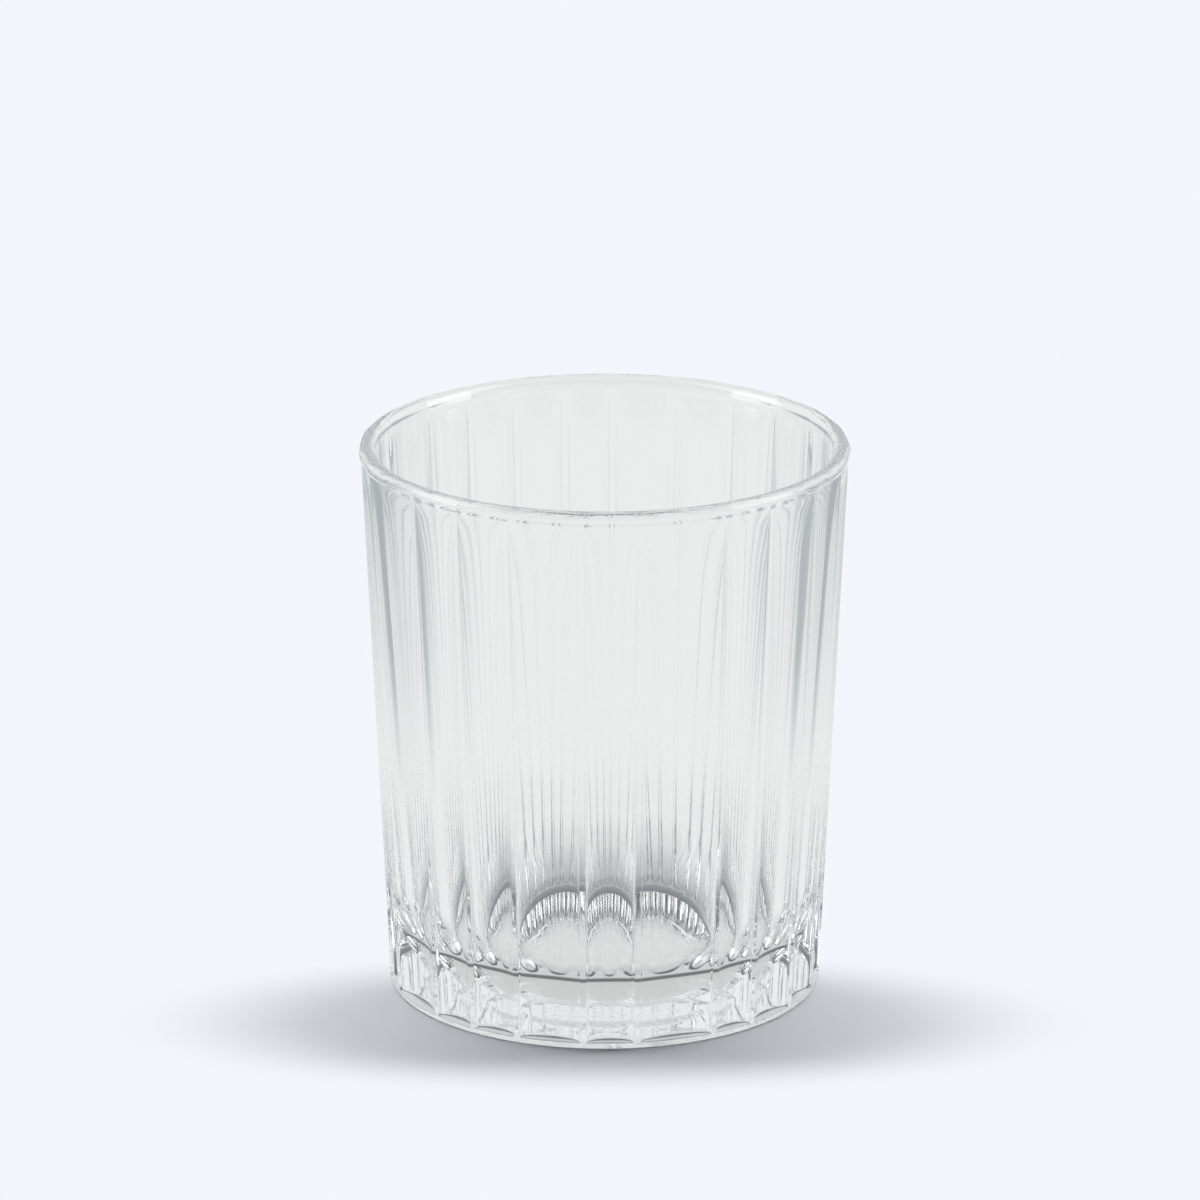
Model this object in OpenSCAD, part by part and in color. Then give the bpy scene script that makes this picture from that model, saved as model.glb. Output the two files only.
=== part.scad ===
// Pressed glass tumbler for juice, made in one piece.
// The inside is smooth and round. The outside has upright hollow flutes of
// unequal widths, with a narrow rib of the round body left between each two.
// The origin is the centre of the foot, on the table, and +Z points up.

/* [Size] */
// Width across the rounded rim
rim_d = 78; // [70:0.5:90]
// Width across the ribs where the glass stands
foot_d = 69.2; // [60:0.2:72]
// Height from the table to the top of the rim
height = 90; // [70:1:120]

/* [Wall] */
// Thickness of the rim, which is rounded right over
rim_t = 2.6; // [2:0.1:4]
// How far the rim stands out past the ribs below it
rim_proud = 0.25; // [0.1:0.05:0.6]
// Thickness of the wall at the level of the bowl's floor, over a rib
wall_foot_t = 3.8; // [2.6:0.1:6]

/* [Base] */
// Thickness of the base, from the table to the bowl's floor
floor_t = 3.5; // [2.5:0.1:12]
// Radius of the bowl's corner, between its floor and its wall
bowl_corner_r = 15.5; // [4:0.5:20]
// Radius of the foot's outer edge
foot_edge_r = 0.9; // [0.3:0.1:1]
// Width of the flat ring that the glass stands on
bearing_w = 2.4; // [1.5:0.1:6]
// Height that the shallow hollow inside that ring has risen to at its disc
hollow_h = 0.2; // [0.1:0.05:0.6]
// Width across the sunk disc in the middle of the base
disc_d = 39; // [20:0.5:44]
// Depth of that disc, from the hollow round it
disc_h = 0.45; // [0.2:0.05:0.8]
// Width of the slope round the disc
disc_slope_w = 2.5; // [0.5:0.1:4]

/* [Flutes] */
// Width of the rib left between two flutes
rib_w = 1.1; // [0.6:0.1:2.4]
// Depth of the crisp side of a rib, beside a flute
rib_side = 0.12; // [0.05:0.01:0.2]
// Depth of every flute at its top end, below the circle of the ribs
flute_rim_depth = 0.8; // [0.8:0.05:1.2]
// Depth of every flute at its lower end, below the circle of the ribs
flute_foot_depth = 1.8; // [0.8:0.05:2.2]
// Distance from the top of the rim down to the flutes
flute_rim_gap = 1.9; // [1.6:0.1:6]
// Distance from the table up to the flutes
flute_foot_gap = 1.2; // [1:0.1:6]
// Radius of the two corners at a flute's top end
flute_corner_r = 1; // [0.3:0.1:1.4]

/* [Hidden] */
$fn = 96;

// Widths of the flutes with their ribs, as shares of a full turn. They go
// round to the right, and the first is the one on the left of the front.
flute_width_shares = [21.5, 13.5, 13.5, 18, 14, 21.5, 12.5, 16, 15, 15.5, 15, 14.5,
                      15, 13.5, 16, 15, 12, 12.5, 13, 13, 17.5, 14, 16.5, 11.5];
// Angle of the first rib, a turn of 90 degrees to the right from the front
first_rib_turn = -162;
// Straight steps across a flute, and in the arc of each of its top corners
flute_steps = 10;
corner_steps = 6;
// How far a cut runs on past the glass that it removes
overrun = 2;
// The least hollow that a flute keeps across its chord
least_hollow = 0.05;

rim_r = rim_d / 2;
foot_r = foot_d / 2;
lip_r = rim_t / 2;
lip_z = height - lip_r;
rib_r = rim_r - rim_proud;
bowl_rim_r = rim_r - rim_t;

// The ribs lie on one cone, and the bowl's wall on another.
taper = (rib_r - foot_r) / lip_z;
function rib_circle_r(z) = foot_r + taper * z;
bowl_floor_r = rib_circle_r(floor_t) - wall_foot_t;
bowl_taper = (bowl_rim_r - bowl_floor_r) / (lip_z - floor_t);
function bowl_r(z) = bowl_floor_r + bowl_taper * (z - floor_t);

// A circle of radius r touches a side that leans out by lean for each unit
// of height. This is how far the circle's centre lies in from that side, at
// the centre's own height, and where the two touch.
function inset(r, lean) = r * sqrt(1 + lean * lean);
function touch(centre, r, lean) =
    centre + [1, -lean] * r / sqrt(1 + lean * lean);

foot_edge_c = [rib_circle_r(foot_edge_r) - inset(foot_edge_r, taper), foot_edge_r];
corner_z = floor_t + bowl_corner_r;
corner_c = [bowl_r(corner_z) - inset(bowl_corner_r, bowl_taper), corner_z];
hollow_r = foot_edge_c.x - bearing_w;
disc_r = disc_d / 2;

// Sums of the shares give where each rib stands around the glass.
function total(shares, count) =
    count == 0 ? 0 : shares[count - 1] + total(shares, count - 1);
flute_count = len(flute_width_shares);
all_shares = total(flute_width_shares, flute_count);
turn = 360;
half_turn = turn / 2;
quarter_turn = turn / 4;
function half_angle(i) = half_turn * flute_width_shares[i] / all_shares;
function middle_turn(i) = first_rib_turn + half_angle(i)
    + turn * total(flute_width_shares, i) / all_shares;

// Half of the section through the glass without its bowl and its flutes
module outside_section() {
    polygon([[0, 0], [foot_edge_c.x, 0], touch(foot_edge_c, foot_edge_r, taper),
             [rib_r, lip_z], [rim_r - lip_r, height], [0, height]]);
    translate(foot_edge_c) circle(r = foot_edge_r);
    translate([rim_r - lip_r, lip_z]) circle(r = lip_r);
}

// Half of the section through the bowl's hollow
module bowl_section() {
    polygon([[0, floor_t], [corner_c.x, floor_t],
             touch(corner_c, bowl_corner_r, bowl_taper),
             [bowl_rim_r, lip_z], [bowl_rim_r, height + overrun],
             [0, height + overrun]]);
    intersection() {
        translate(corner_c) circle(r = bowl_corner_r);
        square([rim_r, corner_z]);
    }
}

// Half of the section through the hollow under the base and its sunk disc
module hollow_section() {
    polygon([[0, -overrun], [hollow_r, -overrun], [hollow_r, 0],
             [disc_r, hollow_h], [disc_r - disc_slope_w, hollow_h + disc_h],
             [0, hollow_h + disc_h]]);
}

// Half of flute i is this wide where the ribs' circle has radius r
degrees_per_radian = half_turn / PI;
function half_width(i, r) =
    r * sin(half_angle(i) - degrees_per_radian * rib_w / r / 2);

// Points across a flute from one rib to the other, on an arc whose middle
// lies depth below the ribs' circle, which has radius r, and whose ends lie
// at the feet of the two ribs' sides
function flute_arc(i, r, depth) =
    let(half = half_width(i, r),
        chord_x = sqrt(r * r - half * half),
        hollow = max(depth - rib_side - (r - chord_x), least_hollow),
        arc_r = (half * half + hollow * hollow) / hollow / 2,
        spread = asin(half / arc_r))
    [for (s = [0 : flute_steps])
        let(direction = spread * (s / flute_steps * 2 - 1))
        [chord_x - rib_side + arc_r * (cos(spread) - cos(direction)),
         arc_r * sin(direction)]];

// Depth of every flute at height z, less and less from the foot to the rim
low_z = flute_foot_gap;
high_z = height - flute_rim_gap;
function flute_depth(z) = flute_foot_depth
    + (flute_rim_depth - flute_foot_depth) * (z - low_z) / (high_z - low_z);

// Points around a level section of the glass that flute i takes off: the
// flute's arc, then two corners out past the ribs
function flute_section(i, z) =
    let(r = rib_circle_r(z), half = half_width(i, r))
    [for (p = concat(flute_arc(i, r, flute_depth(z)),
                     [[r + overrun, half], [r + overrun, -half]]))
        [p.x, p.y, z]];

// The glass that flute i takes off, with square ends. Each of its faces runs
// from its section at the foot up to the matching one at the rim.
module flute_body(i) {
    low = flute_section(i, low_z);
    high = flute_section(i, height);
    n = len(low);
    polyhedron(points = concat(low, high),
               faces = concat([[for (k = [n - 1 : -1 : 0]) k]],
                              [[for (k = [0 : n - 1]) n + k]],
                              [for (k = [0 : n - 1]) let(next = (k + 1) % n)
                                  each [[k, next, n + next], [k, n + next, n + k]]]));
}

// The outline of flute i as it is seen from outside. It sets the end at the
// rim, with its two rounded corners, and is too wide and too low elsewhere.
module flute_outline(i) {
    half = half_width(i, rib_circle_r(high_z));
    side = half + overrun;
    r = flute_corner_r;
    arc = [for (s = [0 : corner_steps])
        let(direction = quarter_turn * s / corner_steps)
        [half - r * (1 - cos(direction)), high_z - r * (1 - sin(direction))]];
    far_arc = [for (k = [corner_steps : -1 : 0]) [-arc[k].x, arc[k].y]];
    polygon(concat([[-side, 0], [side, 0], [side, high_z - r]],
                   arc, far_arc, [[-side, high_z - r]]));
}

// The glass that flute i takes off the round body
module flute_cut(i) {
    rotate([0, 0, middle_turn(i)])
        intersection() {
            flute_body(i);
            rotate([90, 0, 90])
                linear_extrude(height = rim_r + overrun + overrun) flute_outline(i);
        }
}

// The whole tumbler: the round body, less its bowl, hollow and flutes
module tumbler() {
    color("lightcyan", 0.45)
        difference() {
            rotate_extrude()
                difference() {
                    outside_section();
                    bowl_section();
                    hollow_section();
                }
            for (i = [0 : flute_count - 1]) flute_cut(i);
        }
}

tumbler();
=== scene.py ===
import math

import bpy
import numpy as np
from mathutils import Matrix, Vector


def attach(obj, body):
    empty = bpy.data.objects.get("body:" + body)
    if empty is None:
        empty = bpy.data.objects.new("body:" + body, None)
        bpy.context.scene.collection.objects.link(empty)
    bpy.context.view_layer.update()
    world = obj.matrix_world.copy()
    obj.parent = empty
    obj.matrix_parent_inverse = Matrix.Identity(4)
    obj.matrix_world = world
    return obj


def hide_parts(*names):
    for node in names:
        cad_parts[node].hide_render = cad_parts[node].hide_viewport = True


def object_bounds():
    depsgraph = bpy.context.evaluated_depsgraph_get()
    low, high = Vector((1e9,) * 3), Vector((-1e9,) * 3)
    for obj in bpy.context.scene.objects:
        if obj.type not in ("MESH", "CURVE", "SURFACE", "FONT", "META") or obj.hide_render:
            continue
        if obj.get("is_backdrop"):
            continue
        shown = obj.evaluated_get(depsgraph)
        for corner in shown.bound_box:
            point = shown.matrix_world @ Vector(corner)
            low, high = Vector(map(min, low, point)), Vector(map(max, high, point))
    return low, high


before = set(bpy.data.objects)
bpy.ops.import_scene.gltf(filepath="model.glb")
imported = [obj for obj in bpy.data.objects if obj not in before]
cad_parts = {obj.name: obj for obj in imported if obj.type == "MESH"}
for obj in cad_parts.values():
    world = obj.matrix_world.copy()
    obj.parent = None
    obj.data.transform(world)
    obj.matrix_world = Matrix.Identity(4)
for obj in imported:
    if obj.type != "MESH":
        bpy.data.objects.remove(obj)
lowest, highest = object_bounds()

scene = bpy.context.scene
scene.view_settings.view_transform = "Standard"

# The camera
# A long lens looks down on the glass from a little above the table, so that
# the mouth is a shallow ellipse and the far wall is seen through the near one.
GLASS_HEIGHT = highest.z
CAMERA_BACK = 13.967 * GLASS_HEIGHT
CAMERA_UP = 5.228 * GLASS_HEIGHT
AIM_UP = 0.4944 * GLASS_HEIGHT
IMAGE_SIZE = 1200
LENS_PIXELS = 8287
AIM_PIXEL = (604.5, 713)
SENSOR = 36
FURTHEST_SEEN = 100


def facing(place):
    """The turn that points a camera or a lamp at the middle of the glass."""
    aim = Vector((0, 0, AIM_UP)) - Vector(place)
    return aim.to_track_quat("-Z", "Y").to_euler()


camera_data = bpy.data.cameras.new("camera")
camera_data.sensor_width = SENSOR
camera_data.lens = LENS_PIXELS / IMAGE_SIZE * SENSOR
camera_data.shift_x = 0.5 - AIM_PIXEL[0] / IMAGE_SIZE
camera_data.shift_y = AIM_PIXEL[1] / IMAGE_SIZE - 0.5
camera_data.clip_end = FURTHEST_SEEN
camera = bpy.data.objects.new("camera", camera_data)
camera.location = (0, -CAMERA_BACK, CAMERA_UP)
camera.rotation_euler = facing(camera.location)
scene.collection.objects.link(camera)
scene.camera = camera

# The table
# A sheet of matt white board that the glass stands on, lit softly round the
# foot. The scuffed ring of the foot is pressed a hair's breadth into it.
MM = 0.001
BOARD_HALF = 20
BOARD_UP = 0.005 * MM
BOARD_SHADE = (0.905, 0.913, 0.973, 1)
BOARD_SHADE_IN_GLASS = (0.84, 0.852, 0.85, 1)
# The lit part is an ellipse round the foot, which fades into the even shade.
LIT_MIDDLE = -0.022
LIT_HALF = (0.070, 0.029)
LIT_EDGE = (0.6, 1.15)
# The glass alone sees painted shade on the board, darker on both sides behind it and far in
# front, where the camera sees the board even and white.
PAINTED_DARK_SHADE = (0.42, 0.455, 0.465, 1)
PAINTED_DARK_SIDE = (0.08, 0.165)
PAINTED_DARK_BACK = (0, 0.06)
PAINTED_DARK_FRONT = (0.45, 0.9)
# The board under the glass is painted darker, as little light reaches it. The painted shades
# run from the middle of the foot outwards, in shares of UNDER_R, and differ at the back.
UNDER_R = 60 * MM
UNDER_BACK_EDGE = (0, 0.02)
UNDER_BACK = (
    (0, (0.85, 0.85, 0.85, 1)),
    (0.27, (0.8, 0.8, 0.8, 1)),
    (0.37, (0.46, 0.49, 0.52, 1)),
    (0.51, (0.30, 0.33, 0.36, 1)),
    (0.52, (0.2, 0.22, 0.24, 1)),
    (0.55, (0.26, 0.28, 0.3, 1)),
    (0.575, (0.45, 0.47, 0.49, 1)),
    (0.64, (0.62, 0.64, 0.66, 1)),
    (0.8, (0.88, 0.88, 0.88, 1)),
    (1, (1, 1, 1, 1)))
UNDER_FRONT = (
    (0, (0.85, 0.85, 0.85, 1)),
    (0.27, (0.82, 0.82, 0.82, 1)),
    (0.37, (0.75, 0.75, 0.75, 1)),
    (0.507, (0.7, 0.7, 0.7, 1)),
    (0.516, (0.17, 0.18, 0.19, 1)),
    (0.535, (0.17, 0.18, 0.19, 1)),
    (0.548, (0.72, 0.73, 0.74, 1)),
    (0.75, (0.9, 0.9, 0.9, 1)),
    (1, (1, 1, 1, 1)))


# The colour sockets of Blender's Mix node
MIX_FACTOR, MIX_LOW, MIX_HIGH, MIX_RESULT = 0, 6, 7, 2


class Link:
    """A node's output that Python's operators work on."""

    def __init__(self, tree, socket=None):
        self.tree = tree
        self.socket = socket

    def node(self, kind, settings=(), values=(), output=0):
        """Adds any node: its settings first, then values or links by input."""
        made = self.tree.nodes.new(kind)
        for name, value in dict(settings).items():
            if name == "stops":
                set_stops(made.color_ramp, value)
            else:
                setattr(made, name, value)
        for name, value in dict(values).items():
            if isinstance(value, Link):
                self.tree.links.new(value.socket, made.inputs[name])
            else:
                made.inputs[name].default_value = value
        return Link(self.tree, made.outputs[output] if made.outputs else None)

    def twin(self, name):
        """Another output of the same node."""
        return Link(self.tree, self.socket.node.outputs[name])

    def math(self, operation, *values):
        return self.node("ShaderNodeMath", {"operation": operation}, enumerate(values))

    def __add__(self, other):
        return self.math("ADD", self, other)

    def __radd__(self, other):
        return self.math("ADD", other, self)

    def __sub__(self, other):
        return self.math("SUBTRACT", self, other)

    def __rsub__(self, other):
        return self.math("SUBTRACT", other, self)

    def __mul__(self, other):
        return self.math("MULTIPLY", self, other)

    def __rmul__(self, other):
        return self.math("MULTIPLY", other, self)

    def __truediv__(self, other):
        return self.math("DIVIDE", self, other)

    def __rtruediv__(self, other):
        return self.math("DIVIDE", other, self)

    def __neg__(self):
        return self * -1

    def __abs__(self):
        return self.math("ABSOLUTE", self)

    def sine(self):
        return self.math("SINE", self)

    def cosine(self):
        return self.math("COSINE", self)

    def root(self):
        return self.math("SQRT", self)

    def at_least(self, other):
        return self.math("MAXIMUM", self, other)

    def at_most(self, other):
        return self.math("MINIMUM", self, other)

    def ramp(self, start, end):
        """Smoothly 0 to 1 as the value goes from start to end."""
        return self.node("ShaderNodeMapRange", {"interpolation_type": "SMOOTHSTEP"},
                         {"Value": self, "From Min": start, "From Max": end})

    def mix(self, low, high):
        """The colour low where this is 0, and high where it is 1."""
        values = {MIX_FACTOR: self, MIX_LOW: low, MIX_HIGH: high}
        return self.node("ShaderNodeMix", {"data_type": "RGBA"}, values, MIX_RESULT)

    def xyz(self):
        """The three numbers of a place or a direction."""
        x = self.node("ShaderNodeSeparateXYZ", values={0: self})
        return x, x.twin("Y"), x.twin("Z")


def set_stops(ramp, stops):
    """Gives a colour ramp its stops, each a place and a shade."""
    while len(ramp.elements) > 1:
        ramp.elements.remove(ramp.elements[-1])
    ramp.elements[0].position = stops[0][0]
    for place, _ in stops[1:]:
        ramp.elements.new(place)
    for element, (_, shade) in zip(ramp.elements, stops):
        element.color = shade


def new_material(name):
    """An empty material, and the tree that its nodes are added to."""
    material = bpy.data.materials.new(name)
    material.use_nodes = True
    material.node_tree.nodes.clear()
    return material, Link(material.node_tree)


def make_board_material():
    """White board, with one shade seen past the glass and others in it."""
    material, tree = new_material("white_board")
    place = tree.node("ShaderNodeNewGeometry", output="Position")
    x, y = place.xyz()[:2]

    # As it is seen in the glass
    # Painted shade under the glass, darkest in rings round the foot
    reach = (x * x + y * y).root() / UNDER_R
    back = tree.node("ShaderNodeValToRGB", {"stops": UNDER_BACK}, {0: reach})
    front = tree.node("ShaderNodeValToRGB", {"stops": UNDER_FRONT}, {0: reach})
    dim = y.ramp(*UNDER_BACK_EDGE).mix(front, back)
    sheet = tree.node("ShaderNodeMix", {"data_type": "RGBA", "blend_type": "MULTIPLY"},
                      {MIX_FACTOR: 1.0, MIX_LOW: BOARD_SHADE_IN_GLASS, MIX_HIGH: dim},
                      MIX_RESULT)
    # Painted shade that only the glass sees: the board darker beside and behind the glass and
    # far in front
    beside = abs(x).ramp(*PAINTED_DARK_SIDE) * y.ramp(*PAINTED_DARK_BACK)
    painted_dark = beside.at_least((-y).ramp(*PAINTED_DARK_FRONT))
    in_glass = tree.node("ShaderNodeEmission", values={"Color": painted_dark.mix(sheet, PAINTED_DARK_SHADE)})

    # As it is seen past the glass
    across = x / LIT_HALF[0]
    along = (y - LIT_MIDDLE) / LIT_HALF[1]
    away = (across * across + along * along).root().ramp(*LIT_EDGE)
    lit = tree.node("ShaderNodeBsdfDiffuse", values={"Color": BOARD_SHADE})
    even = tree.node("ShaderNodeEmission", values={"Color": BOARD_SHADE})
    open_board = tree.node("ShaderNodeMixShader", values={0: away, 1: lit, 2: even})

    rays = tree.node("ShaderNodeLightPath")
    through = (rays.twin("Is Glossy Ray") + rays.twin("Is Transmission Ray")).at_most(1)
    board = tree.node("ShaderNodeMixShader", values={0: through, 1: open_board, 2: in_glass})
    tree.node("ShaderNodeOutputMaterial", values={"Surface": board})
    return material


corners = ((-1, -1), (1, -1), (1, 1), (-1, 1))
board_mesh = bpy.data.meshes.new("table")
board_mesh.from_pydata([(x * BOARD_HALF, y * BOARD_HALF, BOARD_UP) for x, y in corners],
                       [], [(0, 1, 2, 3)])
board_mesh.materials.append(make_board_material())
board = bpy.data.objects.new("table", board_mesh)
scene.collection.objects.link(board)
board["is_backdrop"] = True

# The studio
# A pale backdrop all round, which the camera sees as one even shade. In the
# glass it is a bright band near the table, and darker overhead and in front.
BACK_LIGHT = (0.86, 0.87, 0.88, 1)
OVERHEAD_LIGHT = (0.09, 0.10, 0.12, 1)
OVERHEAD_EDGE = (0.45, 0.85)
FRONT_LIGHT = (0.10, 0.11, 0.12, 1)
FRONT_EDGE = (0, 0.6)
FILL_LIGHT = (0.05, 0.05, 0.05, 1)
# A soft box on each side glints in the glass, and a strip overhead casts the
# glass's shadow on the board.
SIDE_BOX_PLACE = (1.1, -0.1, 0.7)
SIDE_BOX_SIZE = (0.8, 1.2)
SIDE_BOX_POWER = 6
STRIP_PLACE = (0, 0.2, 0.9)
STRIP_SIZE = (3.0, 0.35)
STRIP_POWER = 18.5
# Light goes to and fro many times inside a glass wall before it leaves.
LIGHT_TURNS = 40

world = bpy.data.worlds.new("studio")
world.use_nodes = True
world.node_tree.nodes.clear()
scene.world = world
sky = Link(world.node_tree)
onward, upward = sky.node("ShaderNodeTexCoord", output="Generated").xyz()[1:]
around = upward.ramp(*OVERHEAD_EDGE).mix(BACK_LIGHT, OVERHEAD_LIGHT)
around = (-onward).ramp(*FRONT_EDGE).mix(around, FRONT_LIGHT)
rays = sky.node("ShaderNodeLightPath")
around = rays.twin("Is Diffuse Ray").mix(around, FILL_LIGHT)
backdrop = sky.node("ShaderNodeBackground",
                    values={"Color": rays.twin("Is Camera Ray").mix(around, BOARD_SHADE)})
sky.node("ShaderNodeOutputWorld", values={"Surface": backdrop})

scene.cycles.max_bounces = LIGHT_TURNS
scene.cycles.glossy_bounces = LIGHT_TURNS
scene.cycles.transmission_bounces = LIGHT_TURNS


def add_lamp(name, place, size, power, seen_in_glass):
    """A soft lamp that faces the glass, and lights the board or glints in it."""
    data = bpy.data.lights.new(name, "AREA")
    data.shape = "RECTANGLE"
    data.size, data.size_y = size
    data.energy = power
    lamp = bpy.data.objects.new(name, data)
    lamp.location = place
    lamp.rotation_euler = facing(place)
    lamp.visible_glossy = seen_in_glass
    lamp.visible_transmission = seen_in_glass
    lamp.visible_diffuse = not seen_in_glass
    scene.collection.objects.link(lamp)


for name, side in (("lamp_left", -1), ("lamp_right", 1)):
    place = (side * SIDE_BOX_PLACE[0], *SIDE_BOX_PLACE[1:])
    add_lamp(name, place, SIDE_BOX_SIZE, SIDE_BOX_POWER, True)
add_lamp("lamp_top", STRIP_PLACE, STRIP_SIZE, STRIP_POWER, False)

# The tumbler
# One piece of clear soda-lime glass, pressed in a mould: the plunger makes
# the smooth bowl, and the mould's bars press the hollow flutes outside.
RIM_R = min(highest.x, highest.y, -lowest.x, -lowest.y)
RIM_T = 2.6 * MM
RIM_PROUD = 0.25 * MM
RIM_BLEND = 0.25 * MM
FOOT_R = 34.6 * MM
WALL_FOOT_T = 3.8 * MM
FLOOR_T = 3.5 * MM
BOWL_CORNER_R = 15.5 * MM
FOOT_EDGE_R = 0.9 * MM
BEARING_W = 2.4 * MM
HOLLOW_H = 0.2 * MM
DISC_R = 19.5 * MM
DISC_H = 0.45 * MM
DISC_SLOPE_W = 2.5 * MM
LIP_R = RIM_T / 2
LIP_Z = GLASS_HEIGHT - LIP_R
RIB_R = RIM_R - RIM_PROUD
TAPER = (RIB_R - FOOT_R) / LIP_Z
# The flutes, and the narrow rib that is left between each two
RIB_W = 1.1 * MM
RIB_RIM_SIDE = 0.05 * MM
RIB_FOOT_SIDE = 0.14 * MM
RIB_ROUND = 0.25 * MM
TOP_ROUND = 5.0 * MM
FLUTE_RIM_DEPTH = 0.6 * MM
FLUTE_FOOT_DEPTH = 1.8 * MM
FLUTE_LOW = 1.2 * MM
FLUTE_HIGH = GLASS_HEIGHT - 1.9 * MM
FLUTE_CORNER_R = 1.2 * MM
LEAST_HOLLOW = 0.02 * MM
# The ribs run on over the rim's collar, which is faintly hollow between them.
COLLAR_DEPTH = 0.15 * MM
COLLAR_FADE = 3.0 * MM
FLUTE_WIDTH_SHARES = (21.5, 13.5, 13.5, 18, 14, 21.5, 12.5, 16, 15, 15.5, 15, 14.5,
                      15, 13.5, 16, 15, 12, 12.5, 13, 13, 17.5, 14, 16.5, 11.5)
FIRST_RIB_TURN = math.radians(-162)
# Distances of the close-set points, from the lower end of a flute upwards,
# from its top end downwards, and from a rib sideways
ABOVE_LOW = np.array([-0.1, 0, 0.03, 0.08, 0.15, 0.25, 0.4, 0.8, 2.0]) * MM
BELOW_HIGH = np.array([3.0, 1.6, 1.1, 0.85, 0.6, 0.4, 0.25, 0.15, 0.08, 0.03, 0]) * MM
FROM_RIB = np.array([0, 0.04, 0.09, 0.15, 0.22, 0.32, 0.5, 0.8]) * MM
BETWEEN_STEPS = 15
COLLAR_STEPS = 7
OPEN_STEPS = 8
# Steps in the round and sloping stretches of the section, from the base round
# to the bowl
DISC_SLOPE_STEPS = 8
HOLLOW_STEPS = 4
FOOT_EDGE_STEPS = 7
BEAD_STEPS = 22
BOWL_WALL_STEPS = 8
BOWL_CORNER_STEPS = 36
# Rings on the flat disc and the flat floor, in shares of their radius
DISC_RINGS = (0.3, 0.6, 0.9)
FLOOR_RINGS = (0.75, 0.5, 0.25)


def rib_circle_r(z):
    """The radius of the circle that the ribs stand on, at height z."""
    return FOOT_R + TAPER * z


BOWL_FLOOR_R = rib_circle_r(FLOOR_T) - WALL_FOOT_T
BOWL_TAPER = (RIM_R - RIM_T - BOWL_FLOOR_R) / (LIP_Z - FLOOR_T)


def bowl_r(z):
    """The radius of the bowl's leaning wall at height z."""
    return BOWL_FLOOR_R + BOWL_TAPER * (z - FLOOR_T)


def inset(r, lean):
    """How far in from a leaning side a circle that touches it has its centre."""
    return r * math.sqrt(1 + lean * lean)


def shares(steps):
    """Even shares from 0 to 1, in so many steps."""
    return np.linspace(0, 1, steps + 1)


def arc(centre, r, start, end, steps):
    """Points on an arc between two directions in degrees, both ends included."""
    x, z = centre
    turns = np.radians(start + (end - start) * shares(steps))
    return [(x + r * math.cos(turn), z + r * math.sin(turn)) for turn in turns]


def base_points():
    """The underside, from near its middle out to the foot's rounded edge."""
    edge_c = (rib_circle_r(FOOT_EDGE_R) - inset(FOOT_EDGE_R, TAPER), FOOT_EDGE_R)
    hollow_r = edge_c[0] - BEARING_W
    inner_r = DISC_R - DISC_SLOPE_W
    top = HOLLOW_H + DISC_H
    disc = [(inner_r * share, top) for share in DISC_RINGS]
    slope = [(inner_r + DISC_SLOPE_W * t, top - DISC_H * t * t * (3 - 2 * t))
             for t in shares(DISC_SLOPE_STEPS)]
    hollow = [(DISC_R + (hollow_r - DISC_R) * t, HOLLOW_H * (1 - t))
              for t in shares(HOLLOW_STEPS)[1:]]
    bearing = [((hollow_r + edge_c[0]) / 2, 0)]
    side = -math.degrees(math.atan(TAPER))
    edge = arc(edge_c, FOOT_EDGE_R, -90, side, FOOT_EDGE_STEPS)
    return disc + slope + hollow + bearing + edge


def wall_r(z):
    """The ribs' cone, swelling softly into the bead of the rim."""
    cone = rib_circle_r(z)
    if z < LIP_Z - LIP_R:
        return cone
    rise = (z - LIP_Z) / LIP_R
    bead = RIM_R - LIP_R * (1 - math.sqrt(1 - rise * rise))
    blend = max(0, RIM_BLEND - abs(cone - bead))
    return max(cone, bead) + blend * blend / RIM_BLEND / 4


def wall_points(start_z):
    """The outside from the foot up to the rim's bead, close-set at both ends
    of the flutes, where the glass is pressed in sharply."""
    near_low = FLUTE_LOW + ABOVE_LOW
    near_high = FLUTE_HIGH - BELOW_HIGH
    between = near_low[-1] + (near_high[0] - near_low[-1]) * shares(BETWEEN_STEPS)[1:-1]
    collar = FLUTE_HIGH + (LIP_Z - FLUTE_HIGH) * shares(COLLAR_STEPS)[1:-1]
    heights = [z for z in (*near_low, *between, *near_high, *collar) if z > start_z]
    return [(wall_r(z), z) for z in heights]


def bowl_points():
    """The inside, from the rim's bead down the wall to the floor."""
    corner_z = FLOOR_T + BOWL_CORNER_R
    corner_c = (bowl_r(corner_z) - inset(BOWL_CORNER_R, BOWL_TAPER), corner_z)
    lean = -math.degrees(math.atan(BOWL_TAPER))
    corner = arc(corner_c, BOWL_CORNER_R, lean, -90, BOWL_CORNER_STEPS)
    heights = LIP_Z + (corner[0][1] - LIP_Z) * shares(BOWL_WALL_STEPS)[1:-1]
    wall = [(bowl_r(z), z) for z in heights]
    floor = [(corner_c[0] * share, FLOOR_T) for share in FLOOR_RINGS]
    return wall + corner + floor


def section():
    """Half of the section through the glass without its flutes: the radius
    and height of each point, then how fully each is pressed by the flutes, and
    by the collar's faint hollows."""
    base = base_points()
    wall = wall_points(base[-1][1])
    bead = arc((RIM_R - LIP_R, LIP_Z), LIP_R, 0, 180, BEAD_STEPS)
    bowl = bowl_points()
    on_wall = [0] * len(base) + [1] * len(wall) + [0] * (len(bead) + len(bowl))
    on_collar = [0] * len(base)
    on_collar += [min(1, max(0, 1 + (z - FLUTE_HIGH) / COLLAR_FADE)) for _, z in wall]
    on_collar += [max(0, (r - RIM_R + LIP_R) / LIP_R) for r, _ in bead]
    on_collar += [0] * len(bowl)
    return base + wall + bead + bowl, on_wall, on_collar


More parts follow.
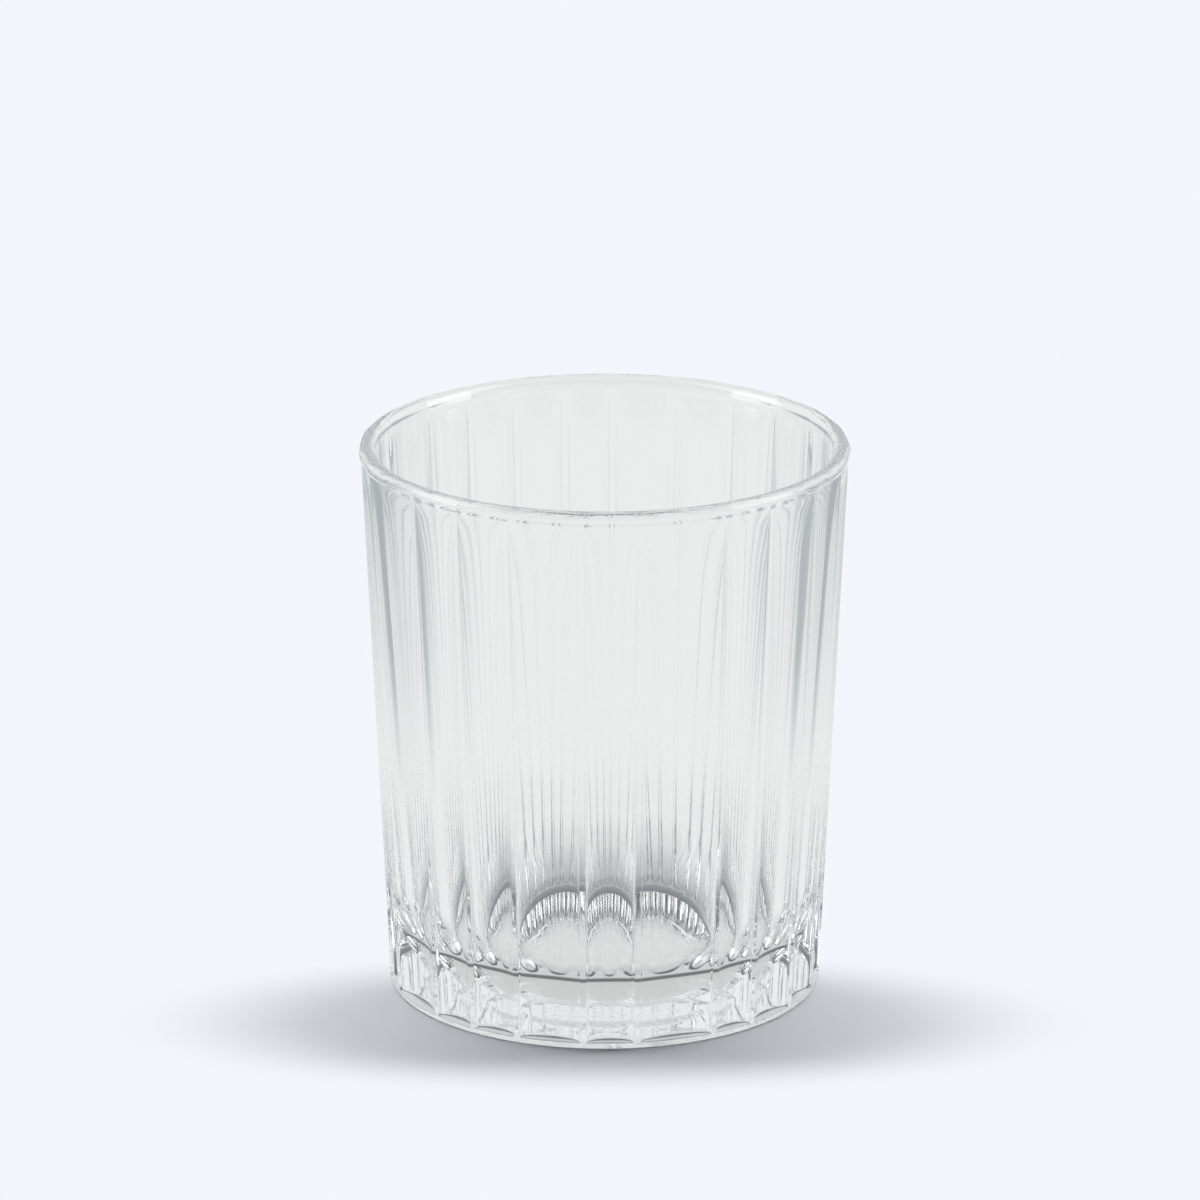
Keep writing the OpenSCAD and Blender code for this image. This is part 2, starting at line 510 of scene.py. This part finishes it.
def column_turns(r):
    """For each column of points on a ring of radius r: its turn from the
    middle of its flute, that middle's own turn, and half of the flute's turn.
    Columns stand close on both sides of each rib, where the glass bends most."""
    columns = []
    start = FIRST_RIB_TURN
    for share in FLUTE_WIDTH_SHARES:
        half = math.pi * share / sum(FLUTE_WIDTH_SHARES)
        edge = half - RIB_W / 2 / r
        close = edge - FROM_RIB / r
        open_part = close[-1] * (2 * shares(OPEN_STEPS)[1:-1] - 1)
        on_rib = (half + edge) / 2
        turns = [-half, -on_rib, *(-close), *open_part, *close[::-1], on_rib]
        columns += [(turn, start + half, half) for turn in turns]
        start += 2 * half
    return np.array(columns)


def round_body():
    """The glass before its flutes are pressed: a closed body of revolution,
    with the place of each point in its flute kept as attributes."""
    rings, on_wall, on_collar = section()
    points, turns, halves, fluted, collar = [], [], [], [], []
    for (r, z), wall_share, collar_share in zip(rings, on_wall, on_collar):
        turn, middle, half = column_turns(max(r, FOOT_R)).T
        angle = turn + middle
        level = np.full(len(angle), z)
        points.append(np.stack([r * np.cos(angle), r * np.sin(angle), level], 1))
        turns.append(turn)
        halves.append(half)
        fluted.append(np.full(len(angle), float(wall_share)))
        collar.append(np.full(len(angle), float(collar_share)))
    count = len(points[0])
    around = np.arange(count)
    after = (around + 1) % count
    faces = []
    for low in range(0, (len(rings) - 1) * count, count):
        high = low + count
        faces += np.stack([low + around, low + after, high + after, high + around], 1).tolist()
    base_pole = len(rings) * count
    floor_pole = base_pole + 1
    last = base_pole - count
    faces += np.stack([np.full(count, base_pole), after, around], 1).tolist()
    faces += np.stack([np.full(count, floor_pole), last + around, last + after], 1).tolist()
    points.append([(0, 0, rings[0][1]), (0, 0, rings[-1][1])])
    mesh = bpy.data.meshes.new("round_body")
    mesh.from_pydata(np.concatenate(points).tolist(), [], faces)
    kept = {"turn": turns, "half_width": halves, "fluted": fluted, "collar": collar}
    for name, values in kept.items():
        attribute = mesh.attributes.new(name, "FLOAT", "POINT")
        at_points = np.concatenate(values + [[0, 0]])
        attribute.data.foreach_set("value", at_points.astype(np.float32))
    return mesh


PRESS_SIZES = {
    "Rib Width": RIB_W,
    "Rim Side": RIB_RIM_SIDE,
    "Foot Side": RIB_FOOT_SIDE,
    "Rib Round": RIB_ROUND,
    "Top Round": TOP_ROUND,
    "Rim Depth": FLUTE_RIM_DEPTH,
    "Foot Depth": FLUTE_FOOT_DEPTH,
    "Low End": FLUTE_LOW,
    "High End": FLUTE_HIGH,
    "Corner Radius": FLUTE_CORNER_R,
    "Least Hollow": LEAST_HOLLOW,
    "Collar Depth": COLLAR_DEPTH,
}


def make_press_tree(material):
    """The mould's bars: presses a hollow flute between each two ribs."""
    tree = bpy.data.node_groups.new("press_flutes", "GeometryNodeTree")
    tree.interface.new_socket("Geometry", in_out="INPUT", socket_type="NodeSocketGeometry")
    for name in PRESS_SIZES:
        tree.interface.new_socket(name, in_out="INPUT", socket_type="NodeSocketFloat")
    tree.interface.new_socket("Geometry", in_out="OUTPUT", socket_type="NodeSocketGeometry")
    body = Link(tree).node("NodeGroupInput")
    sizes = {name: body.twin(name) for name in PRESS_SIZES}

    def attribute(name):
        return body.node("GeometryNodeInputNamedAttribute", {"data_type": "FLOAT"},
                         {"Name": name})

    x, y, z = body.node("GeometryNodeInputPosition").xyz()
    r = (x * x + y * y).root()
    turn = attribute("turn")
    half = attribute("half_width")

    # A flute's section is an arc between the feet of the two ribs' sides, and
    # the deepest lines of all flutes lie on one cone.
    rise = (z - sizes["Low End"]) / (sizes["High End"] - sizes["Low End"])
    depth = sizes["Foot Depth"] + (sizes["Rim Depth"] - sizes["Foot Depth"]) * rise
    side = sizes["Foot Side"] + (sizes["Rim Side"] - sizes["Foot Side"]) * rise
    edge_turn = half - sizes["Rib Width"] / 2 / r
    chord_half = r * edge_turn.sine()
    chord_x = r * edge_turn.cosine()
    hollow = (depth - side - (r - chord_x)).at_least(sizes["Least Hollow"])
    arc_r = (chord_half * chord_half + hollow * hollow) / (2 * hollow)
    centre_x = chord_x - side + arc_r - hollow
    across = centre_x * turn.sine()
    back = (arc_r * arc_r - across * across).at_least(0).root()
    flute_r = centre_x * turn.cosine() - back

    # The press is full a little way inside the flute's outline, whose two top
    # corners are round, and it fades in softly from the top end.
    corner = sizes["Corner Radius"]
    past_side = r * (abs(turn) - edge_turn) + corner
    past_top = z - sizes["High End"] + corner
    out_side = past_side.at_least(0)
    out_top = past_top.at_least(0)
    out = (out_side * out_side + out_top * out_top).root()
    inside = corner - out - past_side.at_least(past_top).at_most(0)
    inside = inside.at_most(z - sizes["Low End"])
    short = 1 - (inside / sizes["Rib Round"]).at_least(0).at_most(1)
    rounded = (1 - short * short).at_least(0).root()
    fade = (sizes["High End"] - z).ramp(0, sizes["Top Round"])
    press = rounded * fade * attribute("fluted")

    from_middle = turn / edge_turn
    collar = (1 - from_middle * from_middle).at_least(0) * attribute("collar")
    shift = ((flute_r - r).at_most(0) * press - collar * sizes["Collar Depth"]) / r
    offset = body.node("ShaderNodeCombineXYZ", values={0: x * shift, 1: y * shift})
    pressed = body.node("GeometryNodeSetPosition", values={"Geometry": body, "Offset": offset})
    smooth = body.node("GeometryNodeSetShadeSmooth", values={"Geometry": pressed})
    plain = body.node("GeometryNodeRealizeInstances", values={"Geometry": smooth})
    glazed = body.node("GeometryNodeSetMaterial",
                       values={"Geometry": plain, "Material": material})
    body.node("NodeGroupOutput", values={"Geometry": glazed})
    return tree


# The glass is a little cool where it is thick. It takes faint waves from the
# mould as it cools, and has a fine stipple under its base and a scuffed foot.
GLASS_TINT = (0.99, 0.992, 0.992, 1)
GLASS_INDEX = 1.52
SHADOW_TINT = (0.12, 0.125, 0.13, 1)
WAVE_SCALE = 90
WAVE_DETAIL = 1
WAVE_DEPTH = 0.02 * MM
STIPPLE_SCALE = 1500
STIPPLE_DETAIL = 1
STIPPLE_EDGE = (0.5, 0.62)
STIPPLE_DEPTH = 0.03 * MM
STIPPLE_R = 15 * MM
STIPPLE_BORDER = 0.6 * MM
SCUFF_SCALE = 900
SCUFF_DETAIL = 3
SCUFF_EDGE = (0.35, 0.65)
SCUFF_TOP = 0.15 * MM
SCUFF_ROUGHNESS = 0.25


def make_glass():
    """Clear glass, which lets a share of the light through to the board."""
    material, tree = new_material("clear_glass")
    place = tree.node("ShaderNodeTexCoord", output="Object")
    x, y, z = place.xyz()
    r = (x * x + y * y).root()

    def noise(scale, detail):
        return tree.node("ShaderNodeTexNoise",
                         values={"Vector": place, "Scale": scale, "Detail": detail})

    waves = noise(WAVE_SCALE, WAVE_DETAIL) * WAVE_DEPTH
    on_base = 1 - z.ramp(HOLLOW_H + DISC_H, FLOOR_T)
    on_disc = 1 - r.ramp(STIPPLE_R - STIPPLE_BORDER, STIPPLE_R)
    grains = noise(STIPPLE_SCALE, STIPPLE_DETAIL).ramp(*STIPPLE_EDGE)
    stipple = grains * on_base * on_disc * STIPPLE_DEPTH
    bump = tree.node("ShaderNodeBump", values={"Height": waves + stipple, "Distance": 1.0})
    scratches = noise(SCUFF_SCALE, SCUFF_DETAIL).ramp(*SCUFF_EDGE)
    scuffs = (1 - z.ramp(0, SCUFF_TOP)) * scratches
    glass = tree.node("ShaderNodeBsdfPrincipled", values={
        "Base Color": GLASS_TINT,
        "IOR": GLASS_INDEX,
        "Transmission Weight": 1.0,
        "Roughness": scuffs * SCUFF_ROUGHNESS,
        "Normal": bump})
    clear = tree.node("ShaderNodeBsdfTransparent", values={"Color": SHADOW_TINT})
    shadow = tree.node("ShaderNodeLightPath").twin("Is Shadow Ray")
    mixed = tree.node("ShaderNodeMixShader", values={0: shadow, 1: glass, 2: clear})
    tree.node("ShaderNodeOutputMaterial", values={"Surface": mixed})
    return material


blank = bpy.data.objects.new("blank", round_body())
scene.collection.objects.link(blank)
press = blank.modifiers.new("press", "NODES")
press.node_group = make_press_tree(make_glass())
for item in press.node_group.interface.items_tree:
    if item.in_out == "INPUT" and item.name in PRESS_SIZES:
        press[item.identifier] = PRESS_SIZES[item.name]
pressed_blank = blank.evaluated_get(bpy.context.evaluated_depsgraph_get())
glass_mesh = bpy.data.meshes.new_from_object(pressed_blank)
glass_mesh.name = "tumbler_glass"
bpy.data.objects.remove(blank)
for name in ("turn", "half_width", "fluted", "collar"):
    glass_mesh.attributes.remove(glass_mesh.attributes[name])
tumbler = bpy.data.objects.new("tumbler_glass", glass_mesh)
scene.collection.objects.link(tumbler)
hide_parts("tumbler")
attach(tumbler, "root")

lowest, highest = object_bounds()
